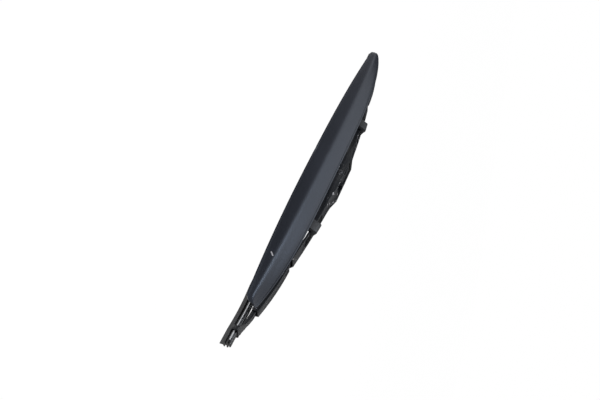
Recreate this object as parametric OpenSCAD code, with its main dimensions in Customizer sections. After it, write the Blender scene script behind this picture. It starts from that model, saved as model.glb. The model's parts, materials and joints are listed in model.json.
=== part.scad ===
// Lever-type windscreen wiper blade with a moulded spoiler wing.
// X runs along the blade, the spoiler is on the -Y side and +Z points away from the glass.
// The origin is the middle of the arm pin. Heights named *_h are measured up from a base line pin_h under it.

/* [Blade] */
// Height of the arm pin above the base line
pin_h = 33; // [32:0.5:35]
// Rubber left over beyond the middle of each outer claw
rubber_overhang = 17; // [12:1:24]

/* [Main bridge] */
// From the arm pin to the rivet of each secondary lever
main_reach = 141; // [134:1:150]
// Inside width of the main bridge's arms
main_inner_w = 8.6; // [8.6:0.1:9.6]
// Sheet thickness of the main bridge
main_t = 1; // [0.8:0.1:1.2]
// Half length of the raised centre
centre_half = 28; // [26:1:32]
// Width of the raised centre
centre_w = 16; // [15:0.5:17]
// Height of the raised centre
centre_h = 38.8; // [38.5:0.1:40]
// Height of the bridge at the foot of the raised centre
shoulder_h = 36.2; // [35.6:0.1:36.8]
// Height of the bridge where its crown ends
main_end_h = 28.4; // [28.1:0.1:29]
// Depth of the secondary levers' rivets under the end of the crown
main_rivet_drop = 7.8; // [7.4:0.1:8.4]
// Radius of the rivets of the secondary levers
main_rivet_r = 1.8; // [1.5:0.1:2]

/* [Secondary levers] */
// From a secondary lever's rivet to the rivets of its yokes
secondary_reach = 65; // [60:1:68]
// Inside width of a secondary lever
secondary_inner_w = 5.8; // [5.8:0.1:6]
// Sheet thickness of a secondary lever
secondary_t = 0.8; // [0.7:0.05:0.8]
// Gap between the end of the bridge's crown and the secondary lever under it
secondary_gap = 1; // [0.8:0.1:1.4]
// Rise of a secondary lever beside its rivet, where it comes out from the bridge
secondary_hump = 1.2; // [0.8:0.1:1.4]
// Height of a secondary lever at its ends
secondary_end_h = 20.1; // [19.9:0.05:20.3]

/* [Yokes] */
// From a yoke's rivet to the middle of each claw
yoke_reach = 27; // [24:1:29]
// Outside width of a yoke's arms
yoke_w = 4.6; // [4.2:0.1:4.6]
// Sheet thickness of a yoke
yoke_t = 0.8; // [0.7:0.05:0.9]
// Height of a yoke over its rivet
yoke_peak_h = 17.7; // [17.6:0.05:17.8]
// Height of the yokes' rivets
yoke_rivet_h = 15.9; // [15.8:0.05:15.95]
// Radius of the yokes' rivets
yoke_rivet_r = 1.1; // [1:0.05:1.2]
// Length of a claw along the rubber
claw_len = 5; // [4:0.5:7]
// Half of the gap between the tips of a claw
claw_gap = 1.4; // [1.1:0.1:1.7]

/* [Rubber] */
// Height of the lip's tip above the base line
tip_rise = 0.8; // [0.5:0.1:1.1]
// Height of the wiping lip
lip_h = 3.7; // [3.5:0.1:3.9]
// Thickness of the wiping lip at its tip
lip_t = 0.7; // [0.6:0.1:1]
// Half width of the shoulder over the lip
shoulder_half = 2.6; // [2.2:0.1:3]
// Half width of the necks
neck_half = 0.7; // [0.5:0.1:0.9]
// Half width of the plate under the steel strips
plate_half = 3; // [2.6:0.1:3.3]
// Half width of the head over the steel strips
head_half = 2.2; // [1.8:0.1:2.6]
// Width of a steel strip
strip_w = 3.2; // [2.8:0.1:3.4]
// Thickness of a steel strip
strip_t = 0.9; // [0.8:0.05:1]

/* [Spoiler] */
// Length of the spoiler wing
spoiler_len = 440; // [410:2:444]
// The wing sits this far off the middle, towards the left end
wing_shift = 3; // [0:0.5:5]
// Wall of the spoiler wing
spoiler_wall = 2; // [1.6:0.1:2.4]
// From the arm pin to the middle of each saddle
saddle_x = 89; // [84:1:94]
// Length of a saddle along the bridge
saddle_len = 13; // [10:1:16]
// Height of a saddle's crest above the bridge
saddle_rise = 5.7; // [4:0.1:7]

/* [Arm mount] */
// Radius of the arm pin
pin_r = 2.5; // [2.3:0.1:2.6]
// Half height of the adapter where the arm's hook grips it
hook_seat_r = 4.6; // [4.4:0.1:4.8]
// Width of the adapter between its cheeks
hook_w = 9.6; // [9.4:0.1:9.8]
// Thickness of the adapter's cheeks
cheek_t = 1.1; // [0.9:0.1:1.2]

/* [Hidden] */
$fn = 48;
eps = 0.01;

// Clearances
rivet_fit = 0.02;
turn_fit = 0.06;
side_gap = 0.1;
rubber_gap = 0.2;
far = 60;

// The rubber's section, from the lip up
shoulder_t = 1.4;
neck_h = 1.1;
plate_t = 1.3;
strip_gap = 0.05;
head_t = 1.5;
shoulder_low = tip_rise + lip_h;
neck_low = shoulder_low + shoulder_t;
plate_low = neck_low + neck_h;
slot_low = plate_low + plate_t;
slot_h = strip_t + 2 * strip_gap;
head_low = slot_low + slot_h;
rubber_top = head_low + head_t;
strip_inner = neck_half + strip_gap;
strip_outer = strip_inner + strip_w;

// Places of the pivots and claws along the blade
outer_yoke_x = main_reach + secondary_reach;
inner_yoke_x = main_reach - secondary_reach;
rubber_half = outer_yoke_x + yoke_reach + rubber_overhang;

// Heights that follow the end of the bridge's crown
main_rivet_h = main_end_h - main_rivet_drop;
secondary_peak_h = main_end_h - main_t - secondary_gap;
secondary_hump_h = secondary_peak_h + secondary_hump;

// Widths of the nested levers
secondary_w = secondary_inner_w + 2 * secondary_t;
main_w = main_inner_w + 2 * main_t;
yoke_liner_t = (secondary_inner_w - yoke_w) / 2 - side_gap;
main_liner_t = (main_inner_w - secondary_w) / 2 - side_gap;

// Ears round the rivets
main_ear_r = 4.8;
secondary_ear_r = 4.3;
yoke_ear_r = 2;
lever_end_r = 2.1;

// Main bridge
crown_end_x = main_reach - 5;
main_tip_x = main_reach + main_ear_r;
shoulder_x = centre_half + 14;
flare_x = shoulder_x + 10;
arm_bulge = 0.9;
arm_steps = 10;
wall_depth = 6.4;
centre_depth = 14.4;
window_x = 23.5;
window_half_w = hook_w / 2 + cheek_t + 0.4;
window_low = 84;
window_high = 110;
window_margin = 1.7;
window_depth = 3.4;
window_chamfer = 1.2;
vent_low = saddle_x - 25;
vent_high = saddle_x + 21;
vent_r = 3.4;

// Yokes
claw_half = strip_outer + rubber_gap + yoke_t;
claw_top = rubber_top + rubber_gap + yoke_t;
claw_tip_low = neck_low + rubber_gap;
claw_tip_high = plate_low - rubber_gap;
yoke_flat = 2;

function up(h) = h - pin_h;
function lerp(a, b, t) = a + (b - a) * t;
// A line from height a to height b, with its middle raised by the bulge
function bulged(a, b, bulge, t) = lerp(a, b, t) + 4 * bulge * t * (1 - t);
function arc(c, r, a0, a1, n) =
    [for (i = [0:n]) let(a = a0 + (a1 - a0) * i / n) c + r * [cos(a), sin(a)]];
function mirrored(pts) = [for (i = [len(pts) - 1:-1:0]) [-pts[i][0], pts[i][1]]];

// Draws a side profile (along X, up) as a solid of the given width
module side(w) {
    translate([0, 0, -pin_h])
        rotate([90, 0, 0])
            linear_extrude(height = w, center = true)
                children();
}

// Draws a cross-section (across Y, up) as a solid from x0 to x1
module along(x0, x1) {
    translate([x0, 0, -pin_h])
        rotate([90, 0, 90])
            linear_extrude(height = x1 - x0)
                children();
}

// A bore across the blade
module cross_bore(x, h, r, w = far) {
    translate([x, 0, up(h)])
        rotate([90, 0, 0])
            cylinder(h = w, r = r, center = true);
}

// A rivet with two domed heads, across the blade
module rivet(x, h, r, grip, head_r, head_h) {
    dome = arc([0, 0], 1, 0, 90, 8);
    translate([x, 0, up(h)])
        rotate([90, 0, 0])
            rotate_extrude()
                polygon(concat(
                    [[0, -grip / 2 - head_h]],
                    [for (i = [8:-1:0]) [head_r * dome[i][0], -grip / 2 - head_h * dome[i][1]]],
                    [[r, -grip / 2], [r, grip / 2]],
                    [for (p = dome) [head_r * p[0], grip / 2 + head_h * p[1]]],
                    [[0, grip / 2 + head_h]]
                ));
}

// Main bridge

function arm_top(x) =
    bulged(shoulder_h, main_end_h, arm_bulge, (x - shoulder_x) / (crown_end_x - shoulder_x));
half_top = concat(
    [[centre_half, centre_h]],
    [for (i = [0:arm_steps])
        let(x = lerp(shoulder_x, crown_end_x, i / arm_steps)) [x, arm_top(x)]]
);
half_bottom = concat(
    arc([main_reach, main_rivet_h], main_ear_r, 110, -150, 16),
    [for (i = [arm_steps - 2:-1:0])
        let(x = lerp(shoulder_x, main_reach - 12, i / (arm_steps - 2))) [x, arm_top(x) - wall_depth]],
    [[centre_half, centre_h - centre_depth]]
);
half_outline = concat(half_top, half_bottom);

module bridge_outline(drop = 0) {
    top = concat(mirrored(half_top), half_top);
    if (drop > 0)
        polygon(concat(
            [[-main_tip_x - 1, 0], [-main_tip_x - 1, main_end_h - drop]],
            [for (p = top) [p[0], p[1] - drop]],
            [[main_tip_x + 1, main_end_h - drop], [main_tip_x + 1, 0]]
        ));
    else
        polygon(concat(half_outline, mirrored(half_outline)));
}

// Plan of the bridge, wider at the raised centre, drawn in by the wall where asked
module bridge_plan(inset = 0) {
    a = main_w / 2 - inset;
    c = centre_w / 2 - inset;
    x = main_tip_x + 5;
    quarter = [[centre_half - inset, c], [flare_x - inset, a], [x, a]];
    upper = concat(mirrored(quarter), quarter);
    translate([0, 0, -far])
        linear_extrude(height = 2 * far)
            polygon(concat(upper, [for (i = [len(upper) - 1:-1:0]) [upper[i][0], -upper[i][1]]]));
}

// The bridge's outer form as a solid, with a clearance all round for what sits on it
module bridge_form(gap = 0) {
    top = concat(mirrored(half_top), half_top);
    intersection() {
        side(far)
            polygon(concat([for (p = top) [p[0], p[1] + gap]], [[crown_end_x, 0], [-crown_end_x, 0]]));
        bridge_plan(-gap);
    }
}

// A long window that follows the bridge's top line, in the wall on the wing's side
module side_window() {
    c = window_chamfer;
    low = window_margin + window_depth;
    function under(x, d) = [x, arm_top(x) - d];
    polygon([
        under(window_low + c, window_margin), under(window_high - c, window_margin),
        under(window_high, window_margin + c), under(window_high, low - c),
        under(window_high - c, low), under(window_low + c, low),
        under(window_low, low - c), under(window_low, window_margin + c)
    ]);
}

// A long slot with round ends in the crown of an arm, which lets the wind through
module crown_vent() {
    length = vent_high - vent_low - 2 * vent_r;
    translate([vent_low + vent_r, 0, 0]) {
        for (x = [0, length])
            translate([x, 0, up(main_end_h)])
                cylinder(h = far, r = vent_r);
        translate([0, -vent_r, up(main_end_h)])
            cube([length, 2 * vent_r, far]);
    }
}

module main_bridge() {
    color("#1d1f21")
        difference() {
            intersection() {
                side(far) bridge_outline();
                bridge_plan();
            }
            intersection() {
                side(far) bridge_outline(drop = main_t);
                bridge_plan(inset = main_t);
            }
            // the hook's window in the raised centre
            translate([-window_x, -window_half_w, 0])
                cube([2 * window_x, 2 * window_half_w, far]);
            for (s = [-1, 1]) {
                // the fork that takes the secondary lever
                translate([s > 0 ? crown_end_x : -crown_end_x - far, -main_inner_w / 2, -pin_h])
                    cube([far, main_inner_w, far + pin_h]);
                mirror([s > 0 ? 0 : 1, 0, 0]) {
                    translate([0, -far / 2, 0])
                        side(far) side_window();
                    crown_vent();
                    cross_bore(main_reach, main_rivet_h, main_rivet_r + rivet_fit);
                }
            }
            cross_bore(0, pin_h, pin_r + rivet_fit);
        }
}

// Spoiler wing

spoiler_half = spoiler_len / 2;
stations = 26;
edge_y = -10.6;
ridge_y = -24.2;
low_y = -27;
// heights of the wing's upper edge, ridge and lower edge at the blade's middle
edge_mid_h = 32.1;
ridge_mid_h = 19;
low_mid_h = 6.4;
tip_y = -17.5;
tip_h = 17.5;
round_part = 15 / spoiler_half;

function bezier(a, b, c, t) = lerp(lerp(a, b, t), lerp(b, c, t), t);
// How far the section is still open towards the wing's round ends, from 1 to 0
function opening(s) = sqrt(1 - pow(max(0, s - 1 + round_part) / round_part, 2));
function edge_point(s) = [edge_y, edge_mid_h - 13 * pow(s, 4)];
function ridge_point(s) = [ridge_y + 3 * pow(s, 4), ridge_mid_h + 0.5 * pow(s, 3)];
function low_point(s) = [low_y + 4.5 * pow(s, 2.4), low_mid_h + 4.7 * pow(s, 2.4)];
function section(s) =
    let(
        e = edge_point(s), r = ridge_point(s), l = low_point(s),
        a = lerp(r, e, 0.42), b = lerp(r, l, 0.42),
        crown = [-0.8, 0.8],
        outer = concat(
            [for (i = [0:4]) let(t = i / 5) lerp(e, a, t) + crown * 4 * t * (1 - t) * 0.5],
            [for (i = [0:6]) bezier(a, r, b, i / 6)],
            [for (i = [1:3]) lerp(b, l, i / 3)]
        ),
        n = len(outer),
        inner = [for (i = [n - 1:-1:0])
            let(
                p = outer[min(i + 1, n - 1)], q = outer[max(i - 1, 0)],
                d = (p - q) / norm(p - q),
                w = spoiler_wall * (i == 0 ? 1.3 : 1)
            )
            outer[i] + w * [-d[1], d[0]]],
        tip = [tip_y, tip_h], k = opening(s)
    )
    [for (p = concat(outer, inner)) lerp(tip, p, k)];

module wing() {
    last = 0.9985;
    xs = [for (i = [-stations:stations]) last * sin(90 * i / stations)];
    rings = [for (s = xs) section(abs(s))];
    n = len(rings[0]);
    m = len(rings);
    points = [for (i = [0:m - 1]) for (p = rings[i])
        [xs[i] * spoiler_half - wing_shift, p[0], up(p[1])]];
    sides = [for (i = [0:m - 2]) for (j = [0:n - 1]) for (half = [0, 1])
        let(a = i * n + j, b = i * n + (j + 1) % n, c = a + n, d = b + n)
        half == 0 ? [a, c, b] : [b, c, d]];
    caps = [[for (j = [0:n - 1]) j], [for (j = [n - 1:-1:0]) (m - 1) * n + j]];
    polyhedron(points, concat(sides, caps));
}

// A saddle moulded to the wing's upper edge, with a hook over the bridge and a peg in its window
module saddle(s) {
    x0 = saddle_x - saddle_len / 2;
    top = arm_top(saddle_x);
    slope = atan((arm_top(x0) - arm_top(x0 + saddle_len)) / saddle_len);
    edge_h = edge_point((saddle_x + s * wing_shift) / spoiler_half)[1];
    wall = main_w / 2;
    crest_r = 2;
    peg_w = 4;
    peg_h = 2.4;
    peg_gap = 0.4;
    mirror([s > 0 ? 0 : 1, 0, 0]) {
        difference() {
            // its crest follows the slope of the arm
            translate([saddle_x, 0, up(top)])
                rotate([0, slope, 0])
                    translate([-saddle_x, 0, -up(top)])
                        along(x0, x0 + saddle_len)
                            polygon(concat(
                                [[edge_y - 0.8, edge_h - 4.6], [edge_y - 0.4, edge_h - 0.5]],
                                arc([crest_r - wall - 1.5, top + saddle_rise - crest_r], crest_r, 160, 60, 5),
                                [[-1, top + 2.7], [1.6, top + 0.9], [1.6, top - 2], [-wall - 0.5, top - 5]]
                            ));
            bridge_form(gap = rivet_fit);
        }
        translate([saddle_x - peg_w / 2, -wall - 1, up(top) - window_margin - peg_h - peg_gap])
            cube([peg_w, 1 + main_t + peg_gap, peg_h]);
    }
}

module spoiler() {
    color("#26282c") {
        union() {
            wing();
            for (s = [-1, 1]) saddle(s);
        }
    }
}

// Secondary levers, drawn about their own rivet and moved to their place

sec_end = secondary_reach + lever_end_r;
sec_depth = 4.6;
sec_corner = 0.3;
sec_steps = 6;
sec_hump_x = 4;
function sec_inner_line(x) = bulged(secondary_peak_h, secondary_end_h, 1.1, x / sec_end);
function sec_outer_line(x) = bulged(secondary_hump_h, secondary_end_h, 1.6, x / sec_end);
function sec_half_top(outer) =
    let(x0 = outer ? sec_hump_x : 0)
    concat(
        [for (i = [0:sec_steps])
            let(x = lerp(x0, sec_end - sec_corner, i / sec_steps))
                [x, outer ? sec_outer_line(x) : sec_inner_line(x)]],
        [[sec_end, secondary_end_h - sec_corner]]
    );
function sec_half_bottom(outer) = concat(
    arc([secondary_reach, yoke_rivet_h], lever_end_r, 0, -150, 8),
    [for (x = [secondary_reach - 7, secondary_reach / 2, 9])
        [x, (outer ? sec_outer_line(x) : sec_inner_line(x)) - sec_depth]],
    arc([0, main_rivet_h], secondary_ear_r, -30, -90, 5)
);
sec_top = concat(mirrored(sec_half_top(false)), sec_half_top(true));
sec_bottom = concat(sec_half_bottom(true), mirrored(sec_half_bottom(false)));

module secondary(x) {
    color("#1b1c1e")
        translate([x, 0, 0])
            mirror([x > 0 ? 0 : 1, 0, 0]) difference() {
                side(secondary_w) polygon(concat(sec_top, sec_bottom));
                side(secondary_inner_w)
                    polygon(concat(
                        [[-sec_end - 1, 0], [-sec_end - 1, secondary_end_h - secondary_t]],
                        [for (i = [1:len(sec_top) - 2]) [sec_top[i][0], sec_top[i][1] - secondary_t]],
                        [[sec_end + 1, secondary_end_h - secondary_t], [sec_end + 1, 0]]
                    ));
                cross_bore(0, main_rivet_h, main_rivet_r + turn_fit);
                for (s = [-1, 1])
                    cross_bore(s * secondary_reach, yoke_rivet_h, yoke_rivet_r + rivet_fit);
            }
}

module main_rivet(x) {
    color("#2c2e31")
        rivet(x, main_rivet_h, main_rivet_r, main_w, main_rivet_r + 1.1, 0.9);
}

// Two thin discs between the fork and the lever, joined under the lever's ear
module main_liner(x) {
    disc_r = secondary_ear_r - 0.2;
    strap_h = max(main_rivet_h - secondary_ear_r - 1, rubber_top + rubber_gap);
    color("#303336")
        difference() {
            union() {
                for (s = [-1, 1])
                    translate([x, s * (main_inner_w - main_liner_t) / 2, up(main_rivet_h)])
                        rotate([90, 0, 0])
                            cylinder(h = main_liner_t, r = disc_r, center = true);
                for (s = [-1, 1])
                    translate([x - 2, s * (main_inner_w - main_liner_t) / 2 - main_liner_t / 2,
                               up(strap_h)])
                        cube([4, main_liner_t, 3]);
                translate([x - 2, -main_inner_w / 2, up(strap_h)])
                    cube([4, main_inner_w, 0.8]);
            }
            cross_bore(x, main_rivet_h, main_rivet_r + rivet_fit);
        }
}

// Yokes

yoke_claw_in = yoke_reach - claw_len / 2;
yoke_claw_out = yoke_reach + claw_len / 2;
// A point of the yoke's profile, at shares of its reach and of its fall to the claw
function yoke_at(reach, fall) = [yoke_reach * reach, lerp(yoke_peak_h, claw_top, fall)];
yoke_neck = [yoke_claw_in - 1, lerp(yoke_peak_h, claw_top, 0.92)];
yoke_web_end = [yoke_claw_in + 1.5, claw_top];
yoke_half_top = [
    [yoke_flat, yoke_peak_h], yoke_at(0.3, 0.07), yoke_at(0.52, 0.28), yoke_at(0.72, 0.55),
    yoke_neck, yoke_web_end
];
yoke_half_low = [
    yoke_web_end - [0, yoke_t], [yoke_claw_in - 2.5, rubber_top + 0.9],
    yoke_at(0.56, 0.76), yoke_at(0.45, 0.56), yoke_at(0.2, 0.48),
    [yoke_ear_r, yoke_rivet_h - yoke_ear_r]
];
yoke_half = concat(yoke_half_top, yoke_half_low);

module claw_section() {
    r = 1.2;
    w = claw_half;
    inner = claw_half - yoke_t;
    difference() {
        polygon(concat(
            arc([w - r, claw_top - r], r, 0, 90, 5), arc([-w + r, claw_top - r], r, 90, 180, 5),
            arc([-w + r, claw_tip_low + r], r, 180, 270, 5),
            arc([w - r, claw_tip_low + r], r, 270, 360, 5)
        ));
        translate([-inner, claw_tip_high])
            square([2 * inner, claw_top - yoke_t - claw_tip_high]);
        translate([-claw_gap, claw_tip_low - 1])
            square([2 * claw_gap, claw_tip_high - claw_tip_low + 2]);
    }
}

module yoke(x) {
    color("#191a1c")
        translate([x, 0, 0])
            difference() {
                union() {
                    // the arched channel
                    difference() {
                        side(yoke_w) polygon(concat(yoke_half, mirrored(yoke_half)));
                        side(yoke_w - 2 * yoke_t)
                            polygon(concat(
                                [[-far, 0]],
                                [for (p = concat(mirrored(yoke_half_top), yoke_half_top))
                                    [p[0], p[1] - yoke_t]],
                                [[far, 0]]
                            ));
                    }
                    for (s = [0, 1])
                        mirror([s, 0, 0]) {
                            along(yoke_claw_in, yoke_claw_out) claw_section();
                            // the web widens to the claw
                            intersection() {
                                side(far)
                                    polygon([
                                        yoke_at(0.72, 0.55), yoke_neck, yoke_web_end,
                                        yoke_web_end - [0, yoke_t], yoke_neck - [0, yoke_t],
                                        yoke_at(0.72, 0.55) - [0, yoke_t]
                                    ]);
                                translate([0, 0, -far])
                                    linear_extrude(height = 2 * far)
                                        polygon([
                                            [yoke_claw_in - 6, -yoke_w / 2], [yoke_claw_in, -claw_half],
                                            [yoke_claw_in + 2, -claw_half], [yoke_claw_in + 2, claw_half],
                                            [yoke_claw_in, claw_half], [yoke_claw_in - 6, yoke_w / 2]
                                        ]);
                            }
                        }
                }
                cross_bore(0, yoke_rivet_h, yoke_rivet_r + turn_fit);
            }
}

module yoke_rivet(x) {
    color("#2c2e31")
        rivet(x, yoke_rivet_h, yoke_rivet_r, secondary_w, yoke_rivet_r + 0.9, 0.7);
}

// A saddle of plastic between a yoke and the end of its lever
module yoke_liner(x) {
    r = yoke_ear_r - 0.3;
    lever_end = secondary_reach + r;
    roof = min(sec_inner_line(lever_end), sec_outer_line(lever_end)) - secondary_t - side_gap;
    under = roof - yoke_liner_t;
    color("#303336")
        translate([x, 0, 0])
            difference() {
                side(secondary_inner_w)
                    polygon(concat(arc([0, yoke_rivet_h], r, 180, 360, 12), [[r, roof], [-r, roof]]));
                side(secondary_inner_w - 2 * yoke_liner_t)
                    polygon([[-far, 0], [far, 0], [far, under], [-far, under]]);
                cross_bore(0, yoke_rivet_h, yoke_rivet_r + rivet_fit);
            }
}

// Rubber and its steel strips

module wiper_rubber() {
    half = [
        [lip_t / 2, tip_rise], [neck_half, shoulder_low - 0.6], [shoulder_half, shoulder_low],
        [shoulder_half, neck_low - 0.5], [neck_half, neck_low], [neck_half, plate_low],
        [plate_half, plate_low], [plate_half, slot_low], [neck_half, slot_low],
        [neck_half, head_low], [head_half, head_low], [head_half, rubber_top - 0.5],
        [head_half - 0.5, rubber_top]
    ];
    stop_x = outer_yoke_x + yoke_reach;
    color("#17181a")
        union() {
            along(-rubber_half, rubber_half) polygon(concat(half, mirrored(half)));
            // two stops that hold the right outer claw
            for (s = [-1, 1])
                translate([stop_x + s * (claw_len / 2 + rubber_gap + 0.8), 0, up(rubber_top) + 0.15])
                    cube([1.6, 2 * head_half - 1, 0.5], center = true);
        }
}

module strip(s) {
    color("#8d9196")
        along(-rubber_half + 3, rubber_half - 3)
            translate([s > 0 ? strip_inner : -strip_outer, slot_low + strip_gap])
                square([strip_w, strip_t]);
}

// Arm pin and adapter

module arm_pin() {
    color("#3a3c3f")
        rivet(0, pin_h, pin_r, centre_w, pin_r + 1.4, 1);
}

module arm_adapter() {
    slab_len = 22;
    cheek_r = 6.6;
    cheek_rise = 1;
    outer = hook_w / 2 + cheek_t;
    mouth = 4.2;
    nib_far = 17;
    nib_near = 13.4;
    nib_h = 1.2;
    pocket = [14, 3.2, 6];
    pocket_gap = 1;
    pocket_end = 2.5;
    under = pin_h - hook_seat_r;
    color("#222427")
        difference() {
            union() {
                // the slab and its round nose, which the hook wraps
                side(hook_w)
                    polygon(concat(
                        arc([0, pin_h], hook_seat_r, -90, 90, 24),
                        [[-slab_len, pin_h + hook_seat_r], [-slab_len, pin_h - hook_seat_r]]
                    ));
                // cheeks that keep the hook between the bridge's walls
                for (s = [-1, 1])
                    translate([0, s * (hook_w + cheek_t) / 2, 0])
                        rotate([90, 0, 0])
                            linear_extrude(height = cheek_t + eps, center = true)
                                polygon(concat(
                                    arc([0, 0], cheek_r, -90, 90, 20),
                                    [[-slab_len + 4, hook_seat_r + cheek_rise], [-slab_len, hook_seat_r],
                                     [-slab_len, -hook_seat_r], [-slab_len + 6, -cheek_r]]
                                ));
                // the nib that catches the end of the hook
                side(hook_w)
                    polygon([[-nib_far, under], [-nib_near, under], [-nib_near, under - nib_h]]);
            }
            // two pockets that keep the slab's walls even
            for (s = [-1, 1])
                translate([pocket_end - slab_len + pocket[0] / 2, s * (pocket[1] + pocket_gap) / 2, 0])
                    cube(pocket, center = true);
            cross_bore(0, pin_h, pin_r + turn_fit);
            translate([-mouth / 2, -outer - 1, -cheek_r - 1])
                cube([mouth, 2 * outer + 2, cheek_r + 1]);
        }
}

arm_adapter();
arm_pin();
main_bridge();
spoiler();
main_rivet(main_reach);  // right_main_rivet
main_rivet(-main_reach);  // left_main_rivet
main_liner(main_reach);  // right_main_liner
main_liner(-main_reach);  // left_main_liner
secondary(main_reach);  // right_secondary
secondary(-main_reach);  // left_secondary
yoke(outer_yoke_x);  // right_outer_yoke
yoke(inner_yoke_x);  // right_inner_yoke
yoke(-inner_yoke_x);  // left_inner_yoke
yoke(-outer_yoke_x);  // left_outer_yoke
yoke_rivet(outer_yoke_x);  // right_outer_yoke_rivet
yoke_rivet(inner_yoke_x);  // right_inner_yoke_rivet
yoke_rivet(-inner_yoke_x);  // left_inner_yoke_rivet
yoke_rivet(-outer_yoke_x);  // left_outer_yoke_rivet
yoke_liner(outer_yoke_x);  // right_outer_yoke_liner
yoke_liner(inner_yoke_x);  // right_inner_yoke_liner
yoke_liner(-inner_yoke_x);  // left_inner_yoke_liner
yoke_liner(-outer_yoke_x);  // left_outer_yoke_liner
wiper_rubber();
strip(-1);  // front_strip
strip(1);  // back_strip
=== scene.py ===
"""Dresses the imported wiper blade: satin black steel, moulded wing, rubber and steel strips."""

import json
import math

import bmesh
import bpy
from bpy.props import FloatProperty, FloatVectorProperty, PointerProperty
from mathutils import Matrix, Vector


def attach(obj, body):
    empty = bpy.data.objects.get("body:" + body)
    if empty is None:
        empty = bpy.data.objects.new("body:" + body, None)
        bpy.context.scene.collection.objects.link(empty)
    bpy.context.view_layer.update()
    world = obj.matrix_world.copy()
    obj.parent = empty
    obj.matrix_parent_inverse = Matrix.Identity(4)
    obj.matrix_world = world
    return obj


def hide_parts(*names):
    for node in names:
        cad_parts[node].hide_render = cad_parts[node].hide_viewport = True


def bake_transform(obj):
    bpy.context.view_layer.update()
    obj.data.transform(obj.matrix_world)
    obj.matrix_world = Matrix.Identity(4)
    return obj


bl_info = {
    "name": "Wiper blade looks",
    "version": (1, 0, 0),
    "blender": (4, 5, 0),
    "location": "3D View > Sidebar > Wiper blade",
    "description": "Models the wing, rubber, strips and steel finishes on the packed frame",
    "category": "Object",
}

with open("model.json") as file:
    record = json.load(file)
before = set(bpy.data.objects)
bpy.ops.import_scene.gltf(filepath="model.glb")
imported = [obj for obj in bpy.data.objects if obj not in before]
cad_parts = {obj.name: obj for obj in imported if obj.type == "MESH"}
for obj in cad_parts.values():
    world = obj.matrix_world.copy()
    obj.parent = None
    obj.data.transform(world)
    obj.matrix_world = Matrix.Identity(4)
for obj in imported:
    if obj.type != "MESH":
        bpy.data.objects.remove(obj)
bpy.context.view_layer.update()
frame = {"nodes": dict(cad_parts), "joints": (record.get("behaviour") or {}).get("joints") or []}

MM = 0.001
NODE = frame["nodes"]
# Each joint's distance from the arm pin along the blade, in mm
JOINT_X = {joint["name"]: round(joint["pos_m"][0] / MM, 3) for joint in frame["joints"]}
MAIN_PIVOT = JOINT_X["right_lever_rock"]
OUTER_YOKE_X = JOINT_X["right_outer_yoke_rock"]
INNER_YOKE_X = JOINT_X["right_inner_yoke_rock"]

# Sizes of the solids that the new pieces follow, in mm. Heights are over a base line
# that is PIN_HEIGHT under the arm pin.
PIN_HEIGHT = 33.0
SHOULDER_X = 42.0
CROWN_END = MAIN_PIVOT - 5.0
SHOULDER_HEIGHT = 36.2
CROWN_END_HEIGHT = 28.4
CROWN_BULGE = 0.9
BRIDGE_HALF_W = 5.3
SADDLE_X = 89.0
SADDLE_HALF = 6.5
YOKE_REACH = 27.0
RUBBER_END = 250.0
STRIP_END = RUBBER_END - 3.0

# Places where the rubber's bends start and end, in mm from the arm pin. A claw holds the
# rubber straight for a short way past its middle, and at LEVER_GIVES the rubber follows the
# secondary lever alone.
CLAW_HOLD = 3.0
OUTER_CLAW_OUT = OUTER_YOKE_X + YOKE_REACH
OUTER_CLAW_IN = OUTER_YOKE_X - YOKE_REACH - CLAW_HOLD
INNER_CLAW_OUT = INNER_YOKE_X + YOKE_REACH + CLAW_HOLD
INNER_CLAW_IN = INNER_YOKE_X - YOKE_REACH - CLAW_HOLD
LEVER_GIVES = 34.0

# The unloaded rubber lifts this far between the claws of an outer yoke, and sags by this
# share of it at its free end
FLEX_RISE = 1.0
END_SAG = 0.3

# The rubber's half section from its lip up, across and height in mm
LIP_TIP = 0.8
RUBBER_HALF = [
    (0.35, LIP_TIP), (0.7, 3.9), (2.6, 4.5), (2.6, 5.4), (0.7, 5.9), (0.7, 7.0),
    (3.0, 7.0), (3.0, 8.3), (0.7, 8.3), (0.7, 9.3), (2.2, 9.3), (2.2, 10.3), (1.7, 10.8),
]
STRIP_SECTION = [(0.75, 8.35), (3.95, 8.35), (3.95, 9.25), (0.75, 9.25)]
STRIP_ROUNDING = 0.12

# Copies of the solids: points closer than this (mm) are one, and faces flatter than this
# (degrees) are merged
WELD = 0.002
FLAT = 0.6


def row(x, y, height):
    """A point given in mm, with its height above the base line, as metres in the frame."""
    return Vector((x * MM, y * MM, (height - PIN_HEIGHT) * MM))


def between(a, b, t):
    """The point at share t of the way from a to b."""
    return tuple(p + (q - p) * t for p, q in zip(a, b))


# Modelling by hand


def start_piece(name, primitive, **size):
    """Adds a primitive with nothing else selected, and names it."""
    if bpy.context.object and bpy.context.object.mode != "OBJECT":
        bpy.ops.object.mode_set(mode="OBJECT")
    bpy.ops.object.select_all(action="DESELECT")
    primitive(**size)
    piece = bpy.context.object
    piece.name = name
    piece.data.name = name
    return piece


def copy_node(name, node):
    """A copy of a CAD node with its loose triangles merged into one skin."""
    bpy.ops.object.select_all(action="DESELECT")
    piece = bpy.data.objects.new(name, NODE[node].data.copy())
    bpy.context.scene.collection.objects.link(piece)
    bpy.context.view_layer.objects.active = piece
    piece.select_set(True)
    piece.data.name = name
    piece.data.materials.clear()
    bpy.ops.object.mode_set(mode="EDIT")
    bpy.ops.mesh.select_all(action="SELECT")
    bpy.ops.mesh.remove_doubles(threshold=WELD * MM)
    bpy.ops.mesh.dissolve_limited(angle_limit=math.radians(FLAT))
    bpy.ops.mesh.quads_convert_to_tris(ngon_method="BEAUTY")
    bpy.ops.object.mode_set(mode="OBJECT")
    return piece


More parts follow.
